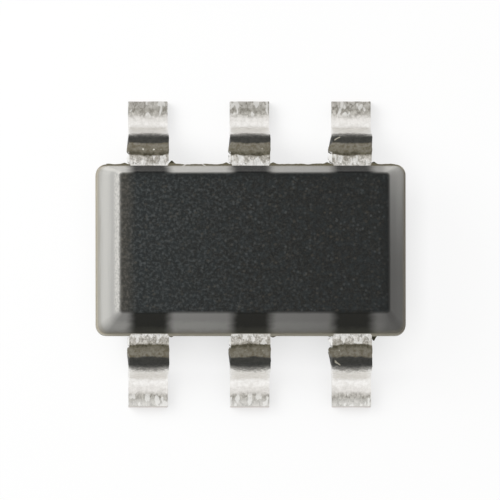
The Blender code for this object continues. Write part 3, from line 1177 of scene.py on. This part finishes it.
class Sheet:
    """A strip of sheet metal that is drawn outwards along Y by extruding and spinning its end."""

    def __init__(
        self, start: Vector, half_width: float, length: float, end_half: float, columns: int
    ) -> None:
        """Starts the strip with its first short run.

        Args:
            start: Middle of its inner end.
            half_width: Half width there.
            length: Length of the first run.
            end_half: Half width at the end of that run.
            columns: Number of faces across the strip.
        """
        middle = start + Vector((0, length / 2, 0))
        only_nothing()
        bpy.ops.mesh.primitive_grid_add(
            x_subdivisions=columns, y_subdivisions=1, size=1.0, location=middle
        )
        self.thing = bpy.context.object
        self.heading = 0.0
        self.end = start + Vector((0, length, 0))
        self.half_width = end_half
        with Bench(self.thing) as bench:
            bench.pick_all()
            bpy.ops.transform.resize(value=(2 * half_width, length, 1), center_override=middle)
            bench.pick(lambda place: place.y > length / 4)
            self.widen(end_half / half_width)

    def widen(self, factor: float) -> None:
        """Scales the selected end across the strip."""
        bpy.ops.transform.resize(value=(factor, 1, 1), center_override=self.end)

    def pick_end(self, bench: Bench) -> None:
        """Selects the edges across the strip's outer end."""
        reach = self.end - self.thing.location
        bench.pick(lambda place: abs(place.y - reach.y) + abs(place.z - reach.z) < MICRON)

    def run(self, length: float, half_width: float | None = None, rows: int = 1) -> None:
        """Goes straight on.

        Args:
            length: Length of the run.
            half_width: Half width at its end, or none to keep it.
            rows: Number of rows of faces.
        """
        final = half_width or self.half_width
        step = Vector((0, math.cos(self.heading), math.sin(self.heading))) * length / rows
        with Bench(self.thing) as bench:
            self.pick_end(bench)
            for row in range(rows):
                bpy.ops.mesh.extrude_region_move(TRANSFORM_OT_translate={"value": step})
                self.end = self.end + step
                width = self.half_width + (final - self.half_width) / (rows - row)
                self.widen(width / self.half_width)
                self.half_width = width

    def bend(self, radius: float, angle: float, rows: int) -> None:
        """Turns, up if the angle is positive.

        Args:
            radius: Radius of the sheet's middle line.
            angle: The turn, in radians.
            rows: Number of rows of faces.
        """
        side = math.copysign(1.0, angle)
        inward = Vector((0, -math.sin(self.heading), math.cos(self.heading))) * side
        centre = self.end + inward * radius
        with Bench(self.thing) as bench:
            self.pick_end(bench)
            bpy.ops.mesh.spin(steps=rows, angle=-angle, center=centre, axis=(1, 0, 0))
        self.end = centre + Matrix.Rotation(angle, 3, "X") @ (self.end - centre)
        self.heading += angle


@dataclass(frozen=True)
class LeadWear:
    """What stamping, trimming and handling leave on a lead. Runs are measured from the wall."""

    sealed: float = 0.01 * MM
    freed: float = 0.03 * MM
    right_gain: float = 1.7
    stub: float = 0.02 * MM
    stub_run: tuple[float, ...] = in_mm(0.095, 0.125, 0.15, 0.21)
    left_stub: float = 1.2
    right_stub: float = 0.25
    steep_run: tuple[float, ...] = in_mm(0.20, 0.24, 0.32, 0.36)
    steep_waist: float = 5 * MICRON
    burr: float = 0.026 * MM
    burr_run: tuple[float, ...] = in_mm(0.012, 0.030, 0.080, 0.105)
    burr_mean: float = 0.8
    burr_swing: float = 0.6
    burr_grain: float = 0.02 * MM
    rags: tuple[tuple[float, float], ...] = ((0.035 * MM, 6 * MICRON), (0.012 * MM, 2 * MICRON))
    outward_rag: float = 0.6
    edge_power: int = 3
    tip_layer: float = 2 * MICRON
    tip_depth: float = 4 * MICRON
    tip_grain: float = 0.03 * MM
    dented_above: float = 0.7
    dent_depth: float = 3 * MICRON
    dent_grain: float = 0.05 * MM


@dataclass
class Leadframe:
    """Six leads and the die paddle, stamped from one copper sheet, formed and tin plated."""

    wall: float = 0.80 * MM
    level: float = 0.625 * MM
    per_side: int = 3
    pitch: float = 0.95 * MM
    width: float = 0.365 * MM
    thickness: float = 0.15 * MM
    shoulder: float = 0.10 * MM
    upper_radius: float = 0.125 * MM
    lower_radius: float = 0.175 * MM
    bend_angle: float = math.radians(78)
    foot: float = 0.17 * MM
    corner_run: float = 0.02 * MM
    edge_radius: float = 0.022 * MM
    edge_segments: int = 3
    sharp_angle: float = math.radians(60)
    shading_angle: float = math.radians(40)
    anchor_depth: float = 0.32 * MM
    head_width: float = 0.54 * MM
    head_length: float = 0.15 * MM
    neck_width: float = 0.27 * MM
    seal: float = 0.05 * MM
    paddle_edge: float = 0.38 * MM
    paddle_half_length: float = 1.07 * MM
    paddle_corner: float = 0.05 * MM
    downset: float = 0.12 * MM
    downset_angle: float = math.radians(40)
    downset_radius: float = 0.105 * MM
    columns: int = 10
    paddle_rows: int = 8
    downset_rows: int = 6
    shoulder_rows: int = 10
    upper_rows: int = 18
    steep_rows: int = 12
    lower_rows: int = 16
    foot_rows: int = 12
    sheared_facing: float = 0.8
    sheared_layer: float = 6 * MICRON
    wear: LeadWear = LeadWear()

    @property
    def paddle_lead(self) -> int:
        """Number of the lead that carries the die paddle."""
        return (self.per_side + 1) // 2

    def name_of(self, number: int) -> str:
        """Name of a lead's solid in the frame."""
        return f"lead_{number}_and_paddle" if number == self.paddle_lead else f"lead_{number}"

    def place_of(self, number: int) -> tuple[float, bool]:
        """Finds where a lead stands.

        Args:
            number: Its number.

        Returns:
            Its X, and whether it leaves the body on the near side.
        """
        near = number <= self.per_side
        column = number - 1 if near else 2 * self.per_side - number
        return (column - (self.per_side - 1) / 2) * self.pitch, near

    def anchor(self) -> Sheet:
        """Draws the inner end of a plain lead, which locks it into the epoxy.

        Returns:
            The strip, as far as its neck.
        """
        head = self.head_width / 2
        start = Vector((0, self.wall - self.anchor_depth, self.level))
        sheet = Sheet(start, head - self.corner_run, self.corner_run, head, self.columns)
        sheet.run(self.head_length - self.corner_run)
        sheet.run(self.corner_run, self.neck_width / 2)
        return sheet

    def paddle(self) -> Sheet:
        """Draws the die paddle, and the ramp that carries it up to the level of the leads.

        Returns:
            The strip, as far as its neck.
        """
        full = self.paddle_half_length
        narrow = full - self.paddle_corner
        start = Vector((0, -self.paddle_edge, self.level - self.downset))
        sheet = Sheet(start, narrow, self.paddle_corner, full, self.columns)
        sheet.run(2 * (self.paddle_edge - self.paddle_corner), rows=self.paddle_rows)
        sheet.run(self.paddle_corner, narrow)
        sheet.run(self.corner_run, self.neck_width / 2)
        rise = 2 * self.downset_radius * (1 - math.cos(self.downset_angle))
        sheet.bend(self.downset_radius, self.downset_angle, self.downset_rows)
        sheet.run((self.downset - rise) / math.sin(self.downset_angle))
        sheet.bend(self.downset_radius, -self.downset_angle, self.downset_rows)
        return sheet

    def form(self, sheet: Sheet) -> bpy.types.Object:
        """Draws the gull wing outside the body, and gives the strip its thickness and edges.

        Args:
            sheet: The strip, as far as its neck.

        Returns:
            The lead, at X 0 and on the far side.
        """
        both_bends = (self.upper_radius + self.lower_radius) * (1 - math.cos(self.bend_angle))
        drop = self.level - self.thickness / 2 - both_bends
        sheet.run(self.wall - self.seal - self.corner_run - sheet.end.y)
        sheet.run(self.corner_run, self.width / 2)
        sheet.run(self.seal + self.shoulder, rows=self.shoulder_rows)
        sheet.bend(self.upper_radius, -self.bend_angle, self.upper_rows)
        sheet.run(drop / math.sin(self.bend_angle), rows=self.steep_rows)
        sheet.bend(self.lower_radius, self.bend_angle, self.lower_rows)
        sheet.run(self.foot, rows=self.foot_rows)
        thing = settle(sheet.thing, "formed_lead")
        with Bench(thing) as bench:
            bench.pick_all()
            bpy.ops.mesh.remove_doubles(threshold=WELD)
            bpy.ops.mesh.normals_make_consistent(inside=False)
        both_ways = {"offset": 0.0, "use_even_offset": True, "use_quality_normals": True}
        work_in(thing, "SOLIDIFY", thickness=self.thickness, **both_ways)
        sharp = {"limit_method": "ANGLE", "angle_limit": self.sharp_angle}
        work_in(thing, "BEVEL", width=self.edge_radius, segments=self.edge_segments, **sharp)
        return thing

    def put(self, pattern: bpy.types.Object, number: int) -> bpy.types.Object:
        """Copies a formed lead to its place, with its own mesh.

        Args:
            pattern: The lead that is copied.
            number: Number of the copy.

        Returns:
            The copy.
        """
        x, near = self.place_of(number)
        only(pattern)
        bpy.ops.object.duplicate(linked=False)
        thing = bpy.context.object
        with Bench(thing) as bench:
            bench.pick_all()
            if near:
                half_turn = {"value": math.pi, "orient_axis": "Z"}
                bpy.ops.transform.rotate(center_override=(0, 0, 0), **half_turn)
            bpy.ops.transform.translate(value=(x, 0, 0))
        return settle(thing, f"formed_lead_{number}")

    def weather(self, thing: bpy.types.Object, number: int) -> None:
        """Gives a lead the stubs of its dam bar, its ragged stamped edges and small dents.

        Args:
            thing: The lead, in its place.
            number: Its number.
        """
        wear = self.wear
        x, _ = self.place_of(number)
        gain = wear.right_gain if x > self.pitch / 2 else 1.0
        tip = tip_of(thing)
        for vertex in thing.data.vertices:
            point = vertex.co
            away = abs(point.y) - self.wall
            if away < wear.sealed:
                continue
            side = (point.x - x) / (self.width / 2)
            stub = wear.stub * (wear.left_stub * gain if side < 0 else wear.right_stub)
            ragged = wear.burr_mean + wear.burr_swing * wander(point, wear.burr_grain)
            burr = wear.burr * gain * ragged * between(away, wear.burr_run) * (side < 0)
            rag = sum(wander(point, grain) * depth for grain, depth in wear.rags)
            shift = between(away, wear.stub_run) * stub
            shift -= between(away, wear.steep_run) * wear.steep_waist
            shift += min(0.0, rag) + max(0.0, rag) * wear.outward_rag
            edge = abs(side) ** wear.edge_power
            point.x += math.copysign(shift * edge + burr * edge**wear.edge_power, side)
            if abs(point.y) > tip - wear.tip_layer:
                pit = abs(wander(point, wear.tip_grain)) * wear.tip_depth
                point.y -= math.copysign(pit, point.y)
            if point.z > self.thickness * wear.dented_above:
                free = smooth_step(away, wear.sealed, wear.freed)
                dent = (1 + wander(point, wear.dent_grain)) / 2 * wear.dent_depth
                point.z -= free * dent

    def bare_end(self, thing: bpy.types.Object) -> None:
        """Gives the sheared end of a lead its second material.

        Args:
            thing: The lead.
        """
        tip = tip_of(thing)
        for face in thing.data.polygons:
            outward = abs(face.normal.y) > self.sheared_facing
            if outward and abs(face.center.y) > tip - self.sheared_layer:
                face.material_index = 1

    def build(self, tin: bpy.types.Material, copper: bpy.types.Material) -> None:
        """Models all six leads.

        Args:
            tin: Finish of the plated sheet.
            copper: Finish of the sheared ends.
        """
        plain = self.form(self.anchor())
        with_paddle = self.form(self.paddle())
        for number in range(1, 2 * self.per_side + 1):
            thing = self.put(with_paddle if number == self.paddle_lead else plain, number)
            self.weather(thing, number)
            dress(thing, tin, copper)
            self.bare_end(thing)
            smooth(thing, self.shading_angle)
            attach(thing, BODY)
            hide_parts(self.name_of(number))
            log.info("%s stands for %s", thing.name, self.name_of(number))
        for pattern in (plain, with_paddle):
            bpy.data.objects.remove(pattern)


@dataclass
class MouldedBody:
    """The epoxy body as its mould leaves it, with a pocket for every piece in it.

    Chips are given by their X and their reach, in millimetres.
    """

    length: float = 2.90 * MM
    width: float = 1.60 * MM
    level: float = 0.625 * MM
    sheet: float = 0.15 * MM
    below: float = 0.47 * MM
    above: float = 0.50 * MM
    end_draft: float = math.radians(19.5)
    side_draft: float = math.radians(14.5)
    flash: float = 0.01 * MM
    corner_radius: float = 0.10 * MM
    corner_segments: int = 10
    rim_radius: float = 0.035 * MM
    rim_segments: int = 6
    shading_angle: float = math.radians(25)
    top_corner_share: float = 0.45
    clearance: float = 0.003 * MM
    top_offset: Vector = field(default_factory=lambda: Vector((0.03, 0.035, 0)) * MM)
    film: float = 0.006 * MM
    film_thickness: float = 0.006 * MM
    film_column: float = 0.012 * MM
    film_mean: float = 0.9
    film_swings: tuple[tuple[float, float], ...] = ((1.2, 0.09 * MM), (0.6, 0.03 * MM))
    film_least: float = -2 * MICRON
    film_root: float = 0.024 * MM
    chip_half: float = 0.022 * MM
    far_chips: tuple[tuple[float, float], ...] = (
        (-0.738, 0.030), (0.715, 0.016), (1.155, 0.018),
        (-0.225, 0.014), (0.212, 0.018), (-1.175, 0.010),
    )
    near_chips: tuple[tuple[float, float], ...] = (
        (1.150, 0.052), (-0.745, 0.018), (0.205, 0.016), (0.740, 0.012),
    )

    def half(self, bench: Bench, side: int, depth: float) -> None:
        """Draws one drafted half of the body out of its parting band.

        Args:
            bench: The body, on which faces are picked.
            side: 1 for the upper half, -1 for the lower one.
            depth: Depth of that half of the mould.
        """
        bench.pick_face(Vector((0, 0, side)))
        bpy.ops.mesh.inset(thickness=self.flash, use_even_offset=True)
        bpy.ops.mesh.extrude_region_move(TRANSFORM_OT_translate={"value": (0, 0, side * depth)})
        level = side * (self.sheet / 2 + depth)
        ends_in = depth * math.tan(self.end_draft)
        sides_in = depth * math.tan(self.side_draft)
        bench.turn_to(Part.POINT)
        for axis, distance in ((Vector((1, 0, 0)), ends_in), (Vector((0, 1, 0)), sides_in)):
            for way in (1, -1):
                bench.pick(lambda p: abs(p.z - level) < MICRON and p.dot(axis) * way > 0)
                bpy.ops.transform.translate(value=axis * -way * distance)
        if side > 0:
            self.square_corners(bench, level, ends_in, sides_in)
            bench.pick(lambda p: abs(p.z - level) < MICRON)
            bpy.ops.transform.translate(value=self.top_offset)
        bench.turn_to(Part.FACE)
        bench.pick_face(Vector((0, 0, side)))
        bpy.ops.mesh.region_to_loop()
        self.round_off(self.rim_radius, self.rim_segments)
        bench.turn_to(Part.FACE)

    def round_off(self, radius: float, segments: int) -> None:
        """Rounds the selected edges."""
        bpy.ops.mesh.bevel(offset=radius, segments=segments, profile=0.5, affect="EDGES")

    def square_corners(self, bench: Bench, level: float, ends_in: float, sides_in: float) -> None:
        """Tightens the corners of the top face, which are sharper than those of the parting band.

        Args:
            bench: The body, on which points are picked.
            level: Height of the top face above the middle of the parting band.
            ends_in: How far the end walls have been drawn in.
            sides_in: How far the long walls have been drawn in.
        """
        half_length = self.length / 2 - self.flash - ends_in
        half_width = self.width / 2 - self.flash - sides_in
        factors = (self.top_corner_share, self.top_corner_share, 1)
        for way_x in (1, -1):
            for way_y in (1, -1):
                bench.pick(lambda p: abs(p.z - level) < MICRON and min(p.x * way_x, p.y * way_y) > 0)
                corner = (way_x * half_length, way_y * half_width, self.level + level)
                bpy.ops.transform.resize(value=factors, center_override=corner)

    def shell(self) -> bpy.types.Object:
        """Models the outside of the body.

        Returns:
            The body, without its pockets.
        """
        only_nothing()
        bpy.ops.mesh.primitive_cube_add(size=1.0, location=(0, 0, self.level))
        thing = bpy.context.object
        with Bench(thing) as bench:
            bench.pick_all()
            bpy.ops.transform.resize(value=(self.length, self.width, self.sheet))
            corner = Vector((self.length, self.width, 0)) / 2
            bench.pick(lambda p: (Vector((abs(p.x), abs(p.y), 0)) - corner).length < MICRON)
            self.round_off(self.corner_radius, self.corner_segments)
        with Bench(thing, Part.FACE) as bench:
            self.half(bench, 1, self.above)
            self.half(bench, -1, self.below)
        return settle(thing, "epoxy_body")

    def film_reach(self, x: float, side: int) -> float:
        """Finds how far the flash stands out of the wall.

        Args:
            x: X on the parting line.
            side: 1 on the far side of the body, -1 on the near side.

        Returns:
            The reach. It is less than 0 where the film ends inside the wall.
        """
        here = Vector((x, side * self.width / 2, self.level + self.sheet / 2 - self.film_thickness))
        swings = (share * wander(here, grain) for share, grain in self.film_swings)
        reach = self.film * sum(swings, self.film_mean)
        for middle, size in self.far_chips if side > 0 else self.near_chips:
            reach += size * MM * math.exp(-(((x - middle * MM) / self.chip_half) ** 2))
        return max(reach, self.film_least)

    def flash_film(self, start: float, end: float, side: int) -> bpy.types.Object:
        """Models a ragged film of resin that bled along the leadframe between two leads.

        Args:
            start: X of its left end.
            end: X of its right end.
            side: 1 on the far side of the body, -1 on the near side.

        Returns:
            The film.
        """
        wall = self.width / 2
        inner = wall - self.film_root
        level = self.level + self.sheet / 2 - self.film_thickness
        middle = Vector(((start + end) / 2, side * wall, level))
        columns = round((end - start) / self.film_column)
        only_nothing()
        bpy.ops.mesh.primitive_grid_add(
            x_subdivisions=columns, y_subdivisions=2, size=1.0, location=middle
        )
        thing = bpy.context.object
        with Bench(thing) as bench:
            bench.pick_all()
            bpy.ops.transform.resize(value=(end - start, self.film, 1))
        settle(thing, "flash_film")
        for vertex in thing.data.vertices:
            out = (abs(vertex.co.y) - wall) / self.film + 0.5
            reach = self.film_reach(vertex.co.x, side)
            vertex.co.y = side * (inner + out * (wall - inner + reach))
        work_in(thing, "SOLIDIFY", thickness=self.film_thickness, offset=1.0)
        return thing

    def films(self, pitch: float, lead: float) -> list[bpy.types.Object]:
        """Models the films between the leads and beside them.

        Args:
            pitch: Distance between leads.
            lead: Width of a lead.

        Returns:
            The films.
        """
        limit = self.length / 2 - self.corner_radius
        leads = [column * pitch for column in (-1, 0, 1)]
        starts = [-limit, *(x + lead / 2 for x in leads)]
        ends = [*(x - lead / 2 for x in leads), limit]
        runs = list(zip(starts, ends))
        return [self.flash_film(start, end, side) for start, end in runs for side in (1, -1)]

    def cutters(self, solids: Sequence[bpy.types.Object]) -> bpy.types.Collection:
        """Copies the moulded-in solids, each grown by the clearance.

        Args:
            solids: Every solid that is moulded in.

        Returns:
            A collection of the copies.
        """
        group = bpy.data.collections.new("pockets")
        bpy.context.scene.collection.children.link(group)
        for solid in solids:
            mesh = solid.data.copy()
            made = bmesh.new()
            made.from_mesh(mesh)
            bmesh.ops.remove_doubles(made, verts=made.verts, dist=WELD)
            made.normal_update()
            moves = [v.normal * v.calc_shell_factor() * self.clearance for v in made.verts]
            for vertex, move in zip(made.verts, moves):
                vertex.co += move
            made.to_mesh(mesh)
            made.free()
            group.objects.link(bpy.data.objects.new(f"pocket_{solid.name}", mesh))
        return group

    def cut_pockets(self, thing: bpy.types.Object, solids: Sequence[bpy.types.Object]) -> None:
        """Cuts a pocket for each solid that is moulded in.

        Args:
            thing: The body.
            solids: Every solid that is moulded in.
        """
        group = self.cutters(solids)
        together = {"operand_type": "COLLECTION", "collection": group, "solver": "MANIFOLD"}
        work_in(thing, "BOOLEAN", operation="DIFFERENCE", **together)
        for cutter in list(group.objects):
            bpy.data.objects.remove(cutter)
        bpy.data.collections.remove(group)

    def join(self, thing: bpy.types.Object, others: Sequence[bpy.types.Object]) -> None:
        """Joins other objects into one.

        Args:
            thing: The object that stays.
            others: Those that become part of it.
        """
        only(thing)
        for other in others:
            other.select_set(True)
        bpy.ops.object.join()

    def build(
        self,
        solids: Sequence[bpy.types.Object],
        epoxy: bpy.types.Material,
        pitch: float,
        lead: float,
    ) -> None:
        """Models the body.

        Args:
            solids: Every solid that is moulded in.
            epoxy: Its finish.
            pitch: Distance between leads.
            lead: Width of a lead.
        """
        thing = self.shell()
        self.cut_pockets(thing, solids)
        self.join(thing, self.films(pitch, lead))
        ledges = (self.level + self.sheet / 2, self.level - self.sheet / 2)
        with Bench(thing) as bench:
            bench.pick(lambda p: min(abs(p.z - ledge) for ledge in ledges) < MICRON)
            bpy.ops.mesh.mark_sharp()
        dress(thing, epoxy)
        smooth(thing, self.shading_angle)
        work_in(thing, "WEIGHTED_NORMAL", keep_sharp=True)
        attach(thing, BODY)
        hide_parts("mould_body")
        log.info("%s has %d faces", thing.name, len(thing.data.polygons))


@dataclass
class Circuit:
    """What the body hides: the die, its glue and the bond wires, as solids of the frame."""

    nodes: dict[str, bpy.types.Object]

    def build(self) -> None:
        """Gives each solid its finish."""
        _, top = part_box("silicon_die")
        looks = {"silicon_die": Silicon(top.z / MM).make(), "die_attach": SILVER_GLUE.make()}
        gold = GOLD_WIRE.make()
        looks.update((name, gold) for name in self.nodes if name.startswith("bond_wire"))
        for name, look in looks.items():
            dress(self.nodes[name], look)
            log.info("%s is dressed in %s", name, look.name)


@dataclass(frozen=True)
class Lamp:
    """A square lamp that looks at the chip. A level of 1 lights a white face fully."""

    name: str
    place: tuple[float, ...]
    size: float
    level: float

    def hang(self) -> None:
        """Adds the lamp."""
        place = Vector(self.place)
        only_nothing()
        bpy.ops.object.light_add(type="AREA", location=place)
        thing = bpy.context.object
        thing.name = self.name
        thing.data.shape = "SQUARE"
        thing.data.size = self.size
        thing.data.energy = self.level * math.pi**2 * place.length_squared
        thing.visible_glossy = False
        thing.rotation_euler = (-place).to_track_quat("-Z", "Y").to_euler()


@dataclass
class Studio:
    """White table, soft light from the far left, and the photograph's camera."""

    scale: float = 106.9 / MM
    picture: int = 500
    tilt_left: float = math.radians(1.0)
    tilt_near: float = math.radians(4.0)
    distance: float = 50 * MM
    aim: Vector = field(default_factory=lambda: Vector((0, 0, 0.65 * MM)))
    aim_pixel: tuple[float, float] = (250.1, 249.6)
    clip: tuple[float, ...] = in_mm(1, 500)
    table_size: float = 400 * MM
    table_colour: Colour = (0.93, 0.93, 0.92)
    table_white: float = 0.92
    shadow_reach: float = 0.42 * MM
    shadow_depth: float = 0.48
    sky_level: float = 0.30
    lamps: tuple[Lamp, ...] = (
        Lamp("window", in_mm(-15.5, 7.5, 18), 16 * MM, 0.95),
        Lamp("overhead", in_mm(-2, 2, 26), 22 * MM, 0.10),
    )

    def table(self) -> None:
        """A white table that takes the chip's shadow and shows white to the camera and to metal."""
        only_nothing()
        bpy.ops.mesh.primitive_plane_add(size=self.table_size, location=(0, 0, 0))
        thing = settle(bpy.context.object, "table")
        graph = Graph("white_table")
        lit = graph.node("ShaderNodeBsdfDiffuse", None, {"Color": self.table_colour})
        plain = graph.node("ShaderNodeEmission", None, {"Color": WHITE, "Strength": 1.0})
        reach = {"Distance": self.shadow_reach}
        open_to_light = graph.node("ShaderNodeAmbientOcclusion", None, reach, "AO")
        share = graph.seen() * (self.table_white - (1 - open_to_light) * self.shadow_depth)
        dress(thing, graph.blend(share, lit, plain))
        thing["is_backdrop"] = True

    def sky(self) -> None:
        """Even light from all round, white to the camera and in reflections."""
        graph = Graph("studio", for_world=True)
        dim, white = (
            graph.node("ShaderNodeBackground", None, {"Color": WHITE, "Strength": level})
            for level in (self.sky_level, 1.0)
        )
        bpy.context.scene.world = graph.blend(graph.seen(), dim, white)

    def camera(self) -> None:
        """A level camera above the chip, a little to the left of it and towards its near side."""
        back = Vector((-math.sin(self.tilt_left), -math.sin(self.tilt_near), 1)).normalized()
        right = (Vector((1, 0, 0)) - back * back.x).normalized()
        up = back.cross(right)
        centre = (self.picture - 1) / 2
        aside = (self.aim_pixel[0] - centre) / self.scale
        down = (self.aim_pixel[1] - centre) / self.scale
        place = self.aim - right * aside + up * down + back * self.distance
        data = bpy.data.cameras.new("photograph")
        data.type = "ORTHO"
        data.ortho_scale = self.picture / self.scale
        data.clip_start, data.clip_end = self.clip
        thing = bpy.data.objects.new("photograph", data)
        bpy.context.scene.collection.objects.link(thing)
        turn = Matrix((right, up, back)).transposed().to_4x4()
        thing.matrix_world = Matrix.Translation(place) @ turn
        bpy.context.scene.camera = thing

    def build(self) -> None:
        """Sets up the table, the light and the camera."""
        self.table()
        self.sky()
        for lamp in self.lamps:
            lamp.hang()
        self.camera()
        bpy.context.scene.view_settings.view_transform = "Standard"
        log.info("the table, the light and the camera stand")


def main() -> None:
    """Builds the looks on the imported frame."""
    logging.basicConfig(level=logging.INFO, format="%(message)s")
    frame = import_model()
    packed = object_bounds()
    nodes = frame["nodes"]

    leads = Leadframe()
    wall, level, pitch, sheet, width = (
        size / MM for size in (leads.wall, leads.level, leads.pitch, leads.thickness, leads.width)
    )
    tin = TinPlate(wall=wall, top=level + sheet / 2, pitch=pitch, width=width).make()
    leads.build(tin, ShearedCopper().make())

    walls = DraftedWalls(level=level, pitch=pitch, lead_half=width / 2)
    epoxy = MouldingCompound(wall=wall, level=level, sheet=sheet, walls=walls).make()
    moulded_in = [node for name, node in nodes.items() if name != "mould_body"]
    MouldedBody().build(moulded_in, epoxy, leads.pitch, leads.width)

    Circuit(nodes).build()
    Studio().build()

    boxes = [[list(corner) for corner in box] for box in (packed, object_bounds())]


if __name__ == "__main__":
    main()
